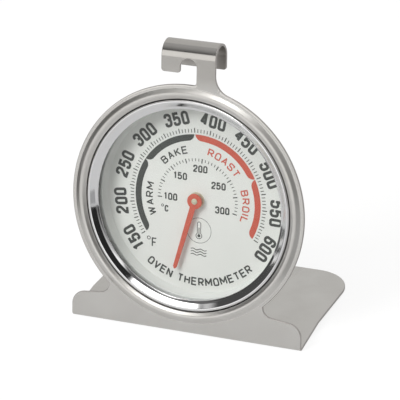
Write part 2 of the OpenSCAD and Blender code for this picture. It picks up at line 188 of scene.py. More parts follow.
def sheet_section(path, thickness, radius=EDGE, open_end=False, steps=3):
    """Section of a sheet whose front follows path and whose back lies to its right, with round
    edges. An open end stops square, for another shape to carry on from it."""
    ahead = [(path[i + 1] - path[i]).normalized() for i in range(len(path) - 1)]
    right = [Vector((d.y, -d.x)) for d in ahead]
    profile = edge_profile(thickness, radius, steps)
    back = []
    for i in range(1, len(path) - 1):
        both = right[i - 1] + right[i]
        back.append(path[i] + both * thickness / (1 + right[i - 1].dot(right[i])))
    start = [path[0] + ahead[0] * cut + right[0] * depth for cut, depth in reversed(profile)]
    if open_end:
        return [path[-1] + right[-1] * thickness] + back[::-1] + start + path[1:]
    end = [path[-1] - ahead[-1] * cut + right[-1] * depth for cut, depth in profile]
    return start + path[1:-1] + end + back[::-1]


# ---------------------------------------------------------------- meshes

def fill(loops, tolerance, covers):
    """Triangles over loops, all anticlockwise, where the list of loops around a place passes."""
    points, faces = [], []
    for loop in loops:
        faces.append(list(range(len(points), len(points) + len(loop))))
        points += loop
    made = delaunay_2d_cdt(points, [], faces, 1, tolerance)
    return made[0], [f for f, around in zip(made[2], made[5]) if covers(list(around))]


def triangles(outline, holes=()):
    """Triangles that fill an outline (anticlockwise) apart from its holes (clockwise)."""
    return fill([outline] + [hole[::-1] for hole in holes], 1e-7, lambda around: around == [0])


def union(polygons):
    """Triangles that cover everything inside any of the polygons."""
    return fill(polygons, 1e-6, bool)


def add_faces(bm, points, faces, slot=0):
    verts = [bm.verts.new(p) for p in points]
    for f in faces:
        if len(set(f)) > 2:
            bm.faces.new([verts[i] for i in f]).material_index = slot
    return verts


def add_plate(bm, loops, thickness, radius, open_loop=None, edge_slot=0, back_slot=0, steps=3):
    """A flat plate in x and y, from z 0 back to -thickness, with rounded edges: an outline
    (anticlockwise) and its holes (clockwise). The open loop has no wall, for another shape to
    carry on from it."""
    profile = edge_profile(thickness, radius, steps)
    for cut, depth, flip in ((*profile[0], False), (*profile[-1], True)):
        rings = [loop if i == open_loop else inset(loop, cut) for i, loop in enumerate(loops)]
        points, faces = triangles(rings[0], rings[1:])
        faces = [f[::-1] for f in faces] if flip else faces
        add_faces(bm, [(p.x, p.y, -depth) for p in points], faces, back_slot if flip else 0)
    for i, loop in enumerate(loops):
        if i == open_loop:
            continue
        count = len(loop)
        points = [(p.x, p.y, -depth) for cut, depth in profile for p in inset(loop, cut)]
        faces = [[row * count + k, (row + 1) * count + k, (row + 1) * count + (k + 1) % count,
                  row * count + (k + 1) % count]
                 for row in range(len(profile) - 1) for k in range(count)]
        add_faces(bm, points, faces, edge_slot)


def add_lathe(bm, section, centre=(0, 0), a0=0.0, a1=360.0, closed=True, segments=SEGMENTS):
    """A section of (radius, level) points turned about the face's axis."""
    whole = a1 - a0 >= 360
    columns = segments if whole else segments + 1
    rows = len(section)
    points = []
    for i in range(columns):
        a = math.radians(a0 + (a1 - a0) * i / segments)
        points += [(centre[0] + p[0] * math.cos(a), centre[1] + p[0] * math.sin(a), p[1])
                   for p in section]
    faces = []
    for i in range(segments):
        j = (i + 1) % columns
        for k in range(rows if closed else rows - 1):
            m = (k + 1) % rows
            faces.append([i * rows + k, j * rows + k, j * rows + m, i * rows + m])
    if not whole:
        faces += [list(range(rows))[::-1], [segments * rows + k for k in range(rows)]]
    add_faces(bm, points, faces)


def add_prism(bm, points, faces, front, back, move=Matrix.Identity(2), at=Vector((0, 0))):
    """A solid between two levels over the given triangles, turned and moved on the face."""
    placed = [move @ p + at for p in points]
    count = len(placed)
    borders = {}
    for f in faces:
        for i, a in enumerate(f):
            borders[(a, f[(i + 1) % len(f)])] = True
    walls = [[a, b, b + count, a + count][::-1] for a, b in borders if (b, a) not in borders]
    solid = [(p.x, p.y, front) for p in placed] + [(p.x, p.y, back) for p in placed]
    add_faces(bm, solid, list(faces) + [[i + count for i in f[::-1]] for f in faces] + walls)


def finish_piece(bm, name, materials, node=None, body="root", sharp=50):
    """Turns the mesh into a piece of the object, in place, riding on its body."""
    bmesh.ops.remove_doubles(bm, verts=bm.verts, dist=1e-4)
    bmesh.ops.dissolve_degenerate(bm, dist=1e-5, edges=bm.edges)
    bmesh.ops.delete(bm, geom=[v for v in bm.verts if not v.link_faces], context="VERTS")
    bmesh.ops.recalc_face_normals(bm, faces=bm.faces)
    bm.transform(FACE)
    mesh = bpy.data.meshes.new(name)
    bm.to_mesh(mesh)
    bm.free()
    mesh.shade_smooth()
    mesh.set_sharp_from_angle(angle=math.radians(sharp))
    piece = bpy.data.objects.new(name, mesh)
    bpy.context.scene.collection.objects.link(piece)
    for mat in materials:
        mesh.materials.append(mat)
    weighted = piece.modifiers.new("weighted", "WEIGHTED_NORMAL")
    weighted.keep_sharp = True
    weighted.weight = 100
    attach(piece, body)
    if node:
        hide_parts(node)


# ---------------------------------------------------------------- materials

class Tree:
    """Nodes of a material or a world."""

    def __init__(self, owner):
        owner.use_nodes = True
        self.nodes, self.links = owner.node_tree.nodes, owner.node_tree.links

    def add(self, kind, inputs=(), **settings):
        """A new node, whose inputs are given as values or as sockets to link."""
        node = self.nodes.new("ShaderNode" + kind)
        for key, value in settings.items():
            setattr(node, key, value)
        for key, value in dict(inputs).items():
            if isinstance(value, bpy.types.NodeSocket):
                self.links.new(value, node.inputs[key])
            else:
                node.inputs[key].default_value = value
        return node

    def math(self, kind, *values):
        return self.add("Math", enumerate(values), operation=kind).outputs[0]

    def ramp(self, value, low, high, start=0.3, end=0.7, kind="LINEAR"):
        """Maps a value from start..end, or a noise from its usual range, to low..high."""
        return self.add("MapRange", {"Value": value, "From Min": start, "From Max": end,
                                     "To Min": low, "To Max": high},
                        interpolation_type=kind).outputs["Result"]

    def mix(self, share, first, second):
        return self.add("MixShader", {0: share, 1: first, 2: second}).outputs[0]

    def show(self, shader):
        self.links.new(shader, self.nodes["Material Output"].inputs["Surface"])


class Shader(Tree):
    """A node material with helpers for procedural detail, in face millimetres."""

    def __init__(self, name, **values):
        self.mat = bpy.data.materials.new(name)
        super().__init__(self.mat)
        self.bsdf = self.nodes["Principled BSDF"]
        names = {"color": "Base Color", "metallic": "Metallic", "aniso": "Anisotropic",
                 "coat": "Coat Weight", "coat_rough": "Coat Roughness",
                 "specular": "Specular IOR Level"}
        for key, value in values.items():
            self.bsdf.inputs[names[key]].default_value = value
        coords = self.add("TexCoord").outputs["Object"]
        place = {"Vector": coords, "Location": CENTRE, "Rotation": TURN.to_euler(),
                 "Scale": (MM, MM, MM)}
        self.place = self.add("Mapping", place, vector_type="TEXTURE").outputs["Vector"]

    def split(self):
        return self.add("SeparateXYZ", {0: self.place}).outputs

    def radius(self):
        x, y, _ = self.split()
        return self.math("SQRT", self.math("ADD", self.math("MULTIPLY", x, x),
                                           self.math("MULTIPLY", y, y)))

    def turned(self, radial, around, along):
        """Coordinates around the face's axis, for rings left by a lathe or a spinning brush."""
        x, y, z = self.split()
        parts = ((self.radius(), radial), (self.math("ARCTAN2", y, x), around), (z, along))
        scaled = [self.math("MULTIPLY", value, scale) for value, scale in parts]
        return self.add("CombineXYZ", enumerate(scaled)).outputs[0]

    def noise(self, scale, detail, rough=0.5, turned=False, finer=1.0):
        """Noise of a scale per millimetre. Three scales stretch it along the axes or, turned,
        around the face's axis."""
        vector = self.place
        if turned:
            vector, scale = self.turned(*scale), finer
        elif isinstance(scale, tuple):
            vector = self.add("VectorMath", {0: vector, 1: scale}, operation="MULTIPLY").outputs[0]
            scale = finer
        return self.add("TexNoise", {"Vector": vector, "Scale": scale, "Detail": detail,
                                     "Roughness": rough}).outputs["Fac"]

    def color(self, factor, first, second):
        """Base colour between two colours."""
        blend = self.add("Mix", {0: factor, 6: (*first, 1.0), 7: (*second, 1.0)}, data_type="RGBA")
        self.links.new(blend.outputs[2], self.bsdf.inputs["Base Color"])

    def rough(self, socket):
        self.links.new(socket, self.bsdf.inputs["Roughness"])

    def bump(self, height, distance, strength=0.5):
        """Adds a bump of that many millimetres over the ones before it."""
        node = self.add("Bump", {"Strength": strength, "Distance": distance * MM, "Height": height})
        socket = self.bsdf.inputs["Normal"]
        if socket.is_linked:
            self.links.new(socket.links[0].from_socket, node.inputs["Normal"])
        self.links.new(node.outputs["Normal"], socket)


def stand_steel():
    """Satin stainless sheet: rolled grain across the width, soft clouds and faint handling marks.
    The drawn bead and collar are duller than the flat sheet, and the colour darkens upwards over the
    neck and hook as painted shade."""
    s = Shader("stand_steel", metallic=1.0, aniso=0.25)
    grain = s.noise((0.35, 9.0, 9.0), 5.0, 0.65)
    clouds = s.noise(0.09, 3.0, 0.55)
    marks = s.noise((1.1, 5.0, 5.0), 2.0, 0.8, finer=1.6)
    # Painted shade: the colour darkens from 37 to 40.5 mm up the face, over the neck and the hook
    painted_neck_hook_shade = s.ramp(s.split()[1], 0.0, 0.62, 37.0, 40.5)
    tone = s.math("MAXIMUM", s.math("SUBTRACT", s.ramp(clouds, 0.7, 1.0), painted_neck_hook_shade), 0.0)
    s.color(tone, (0.588, 0.567, 0.538), (0.755, 0.74, 0.715))
    drawn = s.ramp(s.radius(), 0.2, 0.0, BEAD_FOOT_R, BEAD_FOOT_R + 0.6)
    s.rough(s.math("ADD", s.math("ADD", s.ramp(grain, 0.11, 0.19), s.ramp(marks, -0.02, 0.03)),
                   drawn))
    s.bump(clouds, 0.05)
    s.bump(grain, 0.0012, 0.6)
    return s.mat


def chrome():
    """Mirror chrome with a trace of ring polish and hairline wear."""
    s = Shader("chrome", metallic=1.0, color=(0.86, 0.86, 0.87, 1))
    rings = s.noise((9.0, 2.0, 9.0), 4.0, 0.6, True)
    s.rough(s.math("ADD", s.ramp(rings, 0.03, 0.07), s.ramp(s.noise(0.25, 3.0, 0.6), 0.0, 0.04)))
    s.bump(s.noise((0.8, 7.0, 0.8), 2.0, turned=True), 0.006)
    s.bump(rings, 0.0004)
    return s.mat


def dial_white():
    """Baked white enamel: faint orange peel, a few specks and a slightly warm cloudiness."""
    s = Shader("dial_white", specular=0.5, coat=0.15, coat_rough=0.2)
    peel = s.noise(2.2, 3.0)
    tone = s.math("MINIMUM", s.ramp(s.noise(4.5, 2.0, 0.4), 0.0, 1.0, 0.22, 0.27),
                  s.ramp(s.noise(0.07, 3.0, 0.55), 0.6, 1.0))
    s.color(tone, (0.80, 0.805, 0.785), (0.885, 0.888, 0.868))
    s.rough(s.ramp(peel, 0.34, 0.44))
    s.bump(peel, 0.004)
    return s.mat


def ink(name, thin, full):
    """Screen-printed ink: a fine mesh of thicker and thinner colour."""
    s = Shader(name, specular=0.4)
    mesh = s.noise(9.0, 2.0)
    cloud = s.ramp(s.noise(0.6, 3.0, 0.6), 0.75, 1.0)
    s.color(s.math("MULTIPLY", s.ramp(mesh, 0.5, 1.0), cloud), thin, full)
    s.rough(s.ramp(mesh, 0.42, 0.55))
    s.bump(mesh, 0.003)
    return s.mat


def glass():
    """Clear pane that lets light through to the dial and mirrors more of the room aslant."""
    s = Shader("glass", metallic=1.0, color=(1, 1, 1, 1))
    s.rough(s.ramp(s.noise(0.3, 3.0, 0.6), 0.0, 0.03))
    clear = s.add("BsdfTransparent", {"Color": (0.926, 0.931, 0.926, 1)})
    facing = s.add("LayerWeight").outputs["Facing"]
    share = s.math("MULTIPLY_ADD", s.math("POWER", facing, 5.0), 1 - HEAD_ON, HEAD_ON)
    s.show(s.mix(share, clear.outputs[0], s.bsdf.outputs[0]))
    return s.mat


def worn(name, patches, dark, light, duller, grain, rough, depth, relief=None, aniso=0.0):
    """Metal whose colour and dullness vary in patches, with a finer grain over them."""
    s = Shader(name, metallic=1.0, aniso=aniso)
    cloud, fine = s.noise(*patches), s.noise(*grain)
    s.color(s.ramp(cloud, 0.0, 1.0), dark, light)
    s.rough(s.math("ADD", s.ramp(fine, *rough), s.ramp(cloud, *duller)))
    if relief:
        s.bump(cloud, *relief)
    s.bump(fine, depth, 0.6)
    return s.mat


def finish(name, patches, dark, light, grain, rough, depth, strength=0.5, **values):
    """Surface whose colour follows one noise and whose roughness and bump follow another."""
    s = Shader(name, **values)
    cloud = s.noise(*patches)
    fine = s.noise(*grain) if grain else cloud
    s.color(s.ramp(cloud, 0.0, 1.0), dark, light)
    s.rough(s.ramp(fine, *rough))
    s.bump(fine, depth, strength)
    return s.mat


STEEL, CHROME, ENAMEL, GLASS = stand_steel(), chrome(), dial_white(), glass()
DARK_INK = ink("print_dark", (0.085, 0.09, 0.085), (0.045, 0.05, 0.046))
RED_INK = ink("print_red", (0.70, 0.16, 0.11), (0.62, 0.085, 0.05))

# Inner side of the hook: duller, and darker in colour as painted shade for the hollow of the roll
STEEL_BACK_SHADED = worn("stand_back_painted_shade", (0.12, 4.0, 0.6), (0.44, 0.42, 0.40), (0.54, 0.525, 0.505),
                  (0.0, 0.05), ((0.35, 9.0, 9.0), 5.0, 0.65), (0.24, 0.34), 0.002, (0.05, 0.5), 0.25)
# Drawn steel cup with turning rings and dull smears
CASE = worn("case_steel", (0.16, 4.0, 0.6), (0.60, 0.595, 0.575), (0.70, 0.69, 0.67), (0.0, 0.1),
            ((11.0, 0.9, 11.0), 5.0, 0.65, True), (0.26, 0.36), 0.003, (0.03, 0.4), 0.3)
# Turned brass with tool rings and a little tarnish
BRASS = worn("brass", (1.4, 4.0, 0.6), (0.56, 0.40, 0.19), (0.72, 0.55, 0.28), (0.06, 0.0),
             ((22.0, 1.0, 22.0), 3.0, 0.6, True), (0.24, 0.38), 0.004)

# Sheared and deburred sheet edge: darker, with fine lines left along the cut
STEEL_EDGE = finish("stand_edge", ((3.0, 3.0, 14.0), 4.0, 0.7), (0.46, 0.43, 0.41),
                    (0.60, 0.58, 0.56), None, (0.32, 0.46), 0.004, 0.6, metallic=1.0)
# Anodised grey ring, finely turned
SPACER = finish("spacer_grey", ((14.0, 1.2, 14.0), 4.0, 0.6, True), (0.84, 0.855, 0.84),
                (0.90, 0.91, 0.90), None, (0.28, 0.40), 0.003, metallic=0.05)
# Dark tempered steel with a blue-grey scale
SPRING = finish("spring_steel", (0.9, 5.0, 0.6), (0.27, 0.28, 0.31), (0.43, 0.43, 0.44), None,
                (0.34, 0.5), 0.01, metallic=1.0)
# Plated steel, tumbled bright
PLATED = finish("washer_steel", (3.0, 4.0, 0.6), (0.66, 0.66, 0.67), (0.78, 0.78, 0.79), None,
                (0.22, 0.36), 0.004, metallic=1.0)
# Pale plated brass, nearly cream in colour and softly glossy
CREAM = finish("bush_cream", (1.8, 4.0, 0.55), (0.63, 0.58, 0.42), (0.80, 0.77, 0.62),
               ((18.0, 1.5, 18.0), 3.0, 0.6, True), (0.28, 0.42), 0.004, metallic=0.35)
# Sprayed red paint with a fine matt tooth
RED = finish("pointer_red", (0.5, 3.0, 0.6), (0.60, 0.105, 0.065), (0.70, 0.135, 0.085),
             (11.0, 3.0, 0.6), (0.42, 0.58), 0.004, 0.6, specular=0.45)
# Dull dark gasket with a fibrous surface
RUBBER = finish("gasket", ((5.0, 30.0, 9.0), 4.0, 0.65, True), (0.030, 0.030, 0.032),
                (0.075, 0.075, 0.078), None, (0.7, 0.9), 0.02, 0.6, specular=0.25)
# Dull rolled strip with heat tint along its length
BIMETAL = finish("bimetal", (0.22, 3.0, 0.55), (0.50, 0.40, 0.28), (0.55, 0.53, 0.50),
                 ((2.0, 2.0, 16.0), 4.0, 0.6), (0.3, 0.45), 0.004, 0.6, metallic=1.0)


# ---------------------------------------------------------------- stand

BEND_HALF = (math.pi / 2 - LEAN - FRONT_RISE) / 2
BEND_TURN = math.pi - 2 * BEND_HALF
BEND_CUT = BEND_R / math.tan(BEND_HALF)
CORNER_Z = BEND_R - BEND_R / math.sin(BEND_HALF) * math.sin(BEND_HALF + FRONT_RISE)
REAR_FALL = math.asin((CORNER_Z + FRONT_LEN * math.sin(FRONT_RISE)) / REAR_LEN)
CREASE_TURN = FRONT_RISE + REAR_FALL
CREASE_CUT = CREASE_R * math.tan(CREASE_TURN / 2)

# Straight runs and bends (length, turn) up and down from the ring's centre, along the front
UP_RUNS = [(ROLL_Y, 0), (math.pi * ROLL_R, math.pi), (ROLL_Y - LEG_Y, 0)]
DOWN_RUNS = [(FOOT_DROP - BEND_CUT, 0), (BEND_R * BEND_TURN, BEND_TURN),
             (FRONT_LEN - BEND_CUT - CREASE_CUT, 0), (CREASE_R * CREASE_TURN, -CREASE_TURN),
             (REAR_LEN - CREASE_CUT, 0)]


def follow(runs, distance, depth):
    """Place of a point at a distance along the runs and at a depth behind the sheet's front."""
    x = y = heading = 0.0
    for length, turn in runs:
        part = min(distance, length)
        if turn:
            radius = length / turn
            after = heading + turn * part / length
            x += radius * (math.sin(after) - math.sin(heading))
            y -= radius * (math.cos(after) - math.cos(heading))
            heading = after
        else:
            x += part * math.cos(heading)
            y += part * math.sin(heading)
        distance -= part
        if distance <= 0:
            break
    return x - depth * math.sin(heading), y + depth * math.cos(heading)


def bent(point):
    """A point of the flat sheet, carried to its place on the bent stand."""
    x, along, level = point
    up = along >= 0
    forward, behind = follow(UP_RUNS if up else DOWN_RUNS, abs(along), -level)
    return Vector((x, forward if up else -forward, -behind))


def bend_levels():
    """Where the flat sheet is divided so that its bends come out round."""
    levels = [REVERSE_Y]
    for runs, side, counts in ((UP_RUNS, 1, (0, 48, 0)), (DOWN_RUNS, -1, (0, 16, 0, 4, 0))):
        start = 0.0
        for (length, turn), count in zip(runs, counts):
            levels += [side * (start + length * i / count) for i in range(count + 1) if count]
            start += length
    return levels


def side_outline():
    """Right side of the stand's flat pattern, from the middle of its rear edge to the ring."""
    rear = -sum(length for length, _ in DOWN_RUNS)
    notch_x, notch_y = NOTCH_HALF + NOTCH_R, NOTCH_R - NOTCH_DROP
    lobe_x, fall = FOOT_HALF - LOBE_R, math.radians(LOBE_FALL)
    top_x, top_y = notch_x - NOTCH_R * math.sin(fall), notch_y - NOTCH_R * math.cos(fall)
    lobe_y = top_y - (lobe_x - top_x) * math.tan(fall) - LOBE_R / math.cos(fall)
    return (arc(FOOT_HALF - REAR_CORNER, rear + REAR_CORNER, REAR_CORNER, -90, 0)
            + arc(lobe_x, lobe_y, LOBE_R, 0, 90 - LOBE_FALL)
            + arc(notch_x, notch_y, NOTCH_R, 270 - LOBE_FALL, 180, 8))


def stand_outline():
    """Flat pattern of the whole stand, anticlockwise."""
    neck_right = HOOK_LEFT + TAB_W + SLOT_W + NECK_W
    tab_right, neck_left = HOOK_LEFT + TAB_W, HOOK_LEFT + TAB_W + SLOT_W
    flare_x = neck_right + FLARE_R
    flare_y = math.sqrt((RING_R + FLARE_R) ** 2 - flare_x ** 2)
    flare_a = math.degrees(math.atan2(flare_y, flare_x))
    nook_x = neck_left - NOOK_R
    nook_y = math.sqrt((RING_R + NOOK_R) ** 2 - nook_x ** 2)
    nook_a = math.degrees(math.atan2(nook_y, nook_x))
    foot_a = math.degrees(math.acos(NOTCH_HALF / RING_R))
    top = sum(length for length, _ in UP_RUNS)
    c = TAB_CORNER
    right = side_outline()
    left = [Vector((-p.x, p.y)) for p in reversed(right)]
    slot_mid = (tab_right + neck_left) / 2
    return (right + arc(0, 0, RING_R, -foot_a, flare_a, 1.25)
            + arc(flare_x, flare_y, FLARE_R, flare_a + 180, 180)[1:]
            + arc(neck_right - c, top - c, c, 0, 90, 15)
            + arc(HOOK_LEFT + c, top - c, c, 90, 180, 15)
            + arc(HOOK_LEFT + c, TAB_Y + c, c, 180, 270, 15)
            + arc(tab_right - c, TAB_Y + c, c, 270, 360, 15)
            + arc(slot_mid, SLOT_ARC_Y, SLOT_W / 2, 180, 0, 8)
            + arc(nook_x, nook_y, NOOK_R, 0, nook_a - 180, 15)
            + arc(0, 0, RING_R, nook_a, 180 + foot_a, 1.25)[1:] + left)


def bead_path():
    """Front of the bead, collar and lip, from the flat flange inwards."""
    collar_r = BEAD_R - BEAD_ROUND
    return fillet([(PLATE_HOLE_R, 0), (BEAD_FOOT_R, 0), (BEAD_R, BEAD_APEX), (collar_r, 0),
                   (collar_r, COLLAR_BACK), (LIP_R, COLLAR_BACK)],
                  [0, 0.7, 1.3, 0.6, COLLAR_BEND, 0], closed=False, steps=9)


def make_stand():
    bm = bmesh.new()
    path = bead_path()
    hole = [polar(path[0].x, -360 * i / SEGMENTS) for i in range(SEGMENTS)]
    add_plate(bm, [stand_outline(), hole], SHEET, EDGE, open_loop=1, edge_slot=1, back_slot=2,
              steps=4)
    for level in bend_levels():
        bmesh.ops.bisect_plane(bm, geom=bm.verts[:] + bm.edges[:] + bm.faces[:], dist=1e-5,
                               plane_co=(0, level, 0), plane_no=(0, 1, 0))
    # Back faces above REVERSE_Y, inside the hook, keep the darker material that paints shade there
    for f in bm.faces:
        if f.material_index == 2 and f.calc_center_median().y < REVERSE_Y:
            f.material_index = 0
    for v in bm.verts:
        v.co = bent(v.co)
    add_lathe(bm, sheet_section(path[::-1], SHEET, open_end=True), closed=False)
    finish_piece(bm, "pressed_stand", [STEEL, STEEL_EDGE, STEEL_BACK_SHADED], "stand_frame",
                 sharp=60)


# ---------------------------------------------------------------- case, rim, glass and dial

def ring_piece(name, section, mat, slot, node, body="root", **where):
    bm = bmesh.new()
    add_lathe(bm, section, **where)
    finish_piece(bm, name, [mat], node, body)


def make_rim():
    """Chrome rim: skirt, rolled crest, a face that falls to the glass in two slopes, round hem."""
    crest_r = RIM_R - RIM_CREST
    path = [Vector((RIM_R, COLLAR_BACK + 0.05))]
    path += arc(crest_r, RIM_CREST_LEVEL, RIM_CREST, 0, 90 + RIM_STEEP, 6)
    knee_r = RIM_IN + RIM_SHELF
    steep, gentle = math.tan(math.radians(RIM_STEEP)), math.tan(math.radians(RIM_GENTLE))
    knee = Vector((knee_r, path[-1].y - (path[-1].x - knee_r) * steep))
    hem = Vector((RIM_IN, knee.y - RIM_SHELF * gentle))
    path = fillet(path + [knee, hem], [0] * len(path) + [1.6, 0], closed=False, steps=8)
    section = sheet_section(path[::-1], RIM_WALL, RIM_WALL * 0.45)
    ring_piece("chrome_rim", section, CHROME, "chrome", "bezel_ring")


def make_glass():
    corner = 0.25
    section = fillet([(0, GLASS_LEVEL), (SEAT_R, GLASS_LEVEL), (SEAT_R, SPACER_LEVEL),
                      (0, SPACER_LEVEL)], [0, corner, corner, 0], closed=False, steps=4)
    ring_piece("glass_pane", section, GLASS, "glass", "glass_lens", closed=False)


def make_gasket():
    section = fillet([(RIM_IN + 0.4, GLASS_LEVEL), (SEAT_R, GLASS_LEVEL), (SEAT_R, GASKET_LEVEL),
                      (RIM_IN + 0.4, GASKET_LEVEL)], 0.15)
    ring_piece("gasket_ring", section, RUBBER, "gasket", "lens_gasket")


def make_spacer():
    """Pressed ring between glass and dial, whose sloped wall frames the dial."""
    wall, top_r = 0.5, VIEW_R + 0.9
    section = fillet([(VIEW_R, DIAL_LEVEL), (VIEW_R + wall, DIAL_LEVEL),
                      (top_r + wall, SPACER_LEVEL - wall), (SEAT_R, SPACER_LEVEL - wall),
                      (SEAT_R, SPACER_LEVEL), (top_r, SPACER_LEVEL)],
                     [0.12, 0.05, 0.1, 0.1, 0.1, 0.45], steps=5)
    ring_piece("spacer", section, SPACER, "spacer_grey", "spacer_ring")


def make_dial():
    hole = 1.32
    section = fillet([(hole, SHELF_LEVEL), (DIAL_R, SHELF_LEVEL), (DIAL_R, DIAL_LEVEL),
                      (hole, DIAL_LEVEL)], 0.08)
    ring_piece("enamelled_dial", section, ENAMEL, "dial_white", "dial_plate")


def slot_loop(angle):
    """Outline of one vent slot, clockwise, at an ordinary angle."""
    turn = Matrix.Rotation(math.radians(angle), 2)
    loop = arc(VENT_OUT, 0, VENT_R, 90, -90, 10) + arc(VENT_IN, 0, VENT_R, 270, 90, 10)
    return [turn @ p for p in loop]


def make_case():
    """Drawn cup with a shelf for the dial, and a vented back with holes for bush and rivets."""
    bm = bmesh.new()
    back_r = DRUM_R - 2 * CASE_CORNER
    rim = [polar(back_r, 360 * i / SEGMENTS) for i in range(SEGMENTS)]
    slots = [slot_loop(360 / VENTS * (i + 0.5)) for i in range(VENTS)]
    drilled = [[polar(r, -360 * i / 48, (x, y)) for i in range(48)]
               for x, y, r in ((0, 0, 1.61), (RIVET_X, RIVET_Y, 0.61), (RIVET_X, -RIVET_Y, 0.61))]
    add_plate(bm, [rim, *slots, *drilled], CASE_WALL, 0.1, open_loop=0)
    for v in bm.verts:
        v.co.z += CASE_BACK + CASE_WALL
    shelf_back = SHELF_LEVEL - CASE_WALL
    path = fillet([(CASE_R, CASE_FRONT), (CASE_R, shelf_back), (DRUM_R, shelf_back),
                   (DRUM_R, CASE_BACK), (back_r, CASE_BACK)],
                  [0, CASE_CORNER, 0.3, CASE_CORNER, 0], closed=False, steps=8)
    add_lathe(bm, sheet_section(path, CASE_WALL, 0.12, open_end=True), closed=False)
    finish_piece(bm, "drawn_case", [CASE], "rear_case", sharp=60)


def make_retaining_ring():
    """Spring ring behind the stand's collar, with its gap at the bottom."""
    gap = 24
    section = fillet([(32.72, -7.12), (33.92, -7.12), (33.92, -6.32), (32.72, -6.32)], 0.15, steps=3)
    ring_piece("spring_ring", section, SPRING, "spring_steel", "case_retaining_ring",
               a0=gap / 2 - 90, a1=270 - gap / 2)


# ---------------------------------------------------------------- movement

def turned_piece(name, outline, mat, slot, node, body="root"):
    """Small turned part whose section is a closed outline of (radius, level, corner)."""
    section = fillet([p[:2] for p in outline], [p[2] for p in outline], steps=4)
    ring_piece(name, section, mat, slot, node, body, segments=96)


def make_staff():
    """Staff with a domed head riveted over the pointer."""
    head_r, dome_r, dome_top = 0.95, 1.6, 0.4
    head = POINTER_LEVEL + POINTER_T
    side = head + dome_top - dome_r + math.sqrt(dome_r ** 2 - head_r ** 2)
    rim_a = math.degrees(math.acos(head_r / dome_r))
    dome = arc(0, head + dome_top - dome_r, dome_r, rim_a, 90, 6)
    section = [Vector((0, -15.7)), Vector((STAFF_R - 0.12, -15.7)), Vector((STAFF_R, -15.58)),
               Vector((STAFF_R, head)), Vector((head_r, head)), Vector((head_r, side - 0.04))]
    ring_piece("staff", section + dome, CREAM, "bush_cream", "pointer_staff", "pointer",
               closed=False, segments=96)


def make_pointer():
    """Flat blade that narrows to its tip, with a round hub, cut from sheet and painted."""
    root_half, tip_half, end_half, tip_len = 0.95, 0.62, 0.25, 0.7
    reach = math.sqrt(HUB_R ** 2 - root_half ** 2)
    start_a = math.degrees(math.atan2(reach, root_half))
    blade = fillet([(root_half, reach), (tip_half, POINTER_LEN - tip_len),
                    (end_half, POINTER_LEN), (-end_half, POINTER_LEN),
                    (-tip_half, POINTER_LEN - tip_len), (-root_half, reach)],
                   [0, 0.4, 0.2, 0.2, 0.4, 0], closed=False, steps=4)
    outline = blade + arc(0, 0, HUB_R, 180 - start_a, 360 + start_a, 4)[1:-1]
    turn = Matrix.Rotation(math.radians(-POINTER_REST), 2)
    outline = [turn @ p for p in outline]
    hole = [polar(STAFF_R + 0.01, -360 * i / 48) for i in range(48)]
    bm = bmesh.new()
    add_plate(bm, [outline, hole], POINTER_T, 0.09)
    bmesh.ops.translate(bm, verts=bm.verts, vec=(0, 0, POINTER_LEVEL + POINTER_T))
    finish_piece(bm, "pointer_blade", [RED], "pointer", "pointer", sharp=40)


def make_coil():
    """Spiral bimetal strip with its inner end tucked into the collet."""
    step, half, tongue = 5, COIL_STRIP / 2, 1.5
    turns = range(0, 360 * COIL_TURNS + 1, step)
    reach = [COIL_IN + (COIL_OUT - COIL_IN) * a / (360 * COIL_TURNS) for a in turns]
    outer = [polar(r + half, a) for r, a in zip(reach, turns)]
    inner = [polar(r - half, a) for r, a in zip(reach, turns)]
    outline = [Vector((tongue, -half))] + outer + inner[:0:-1] + [Vector((tongue, half))]
    bm = bmesh.new()
    add_plate(bm, [outline], COIL_FRONT - COIL_BACK, 0.06, steps=2)
    bmesh.ops.translate(bm, verts=bm.verts, vec=(0, 0, COIL_FRONT))
    finish_piece(bm, "bimetal_spiral", [BIMETAL], "bimetal_coil", sharp=40)


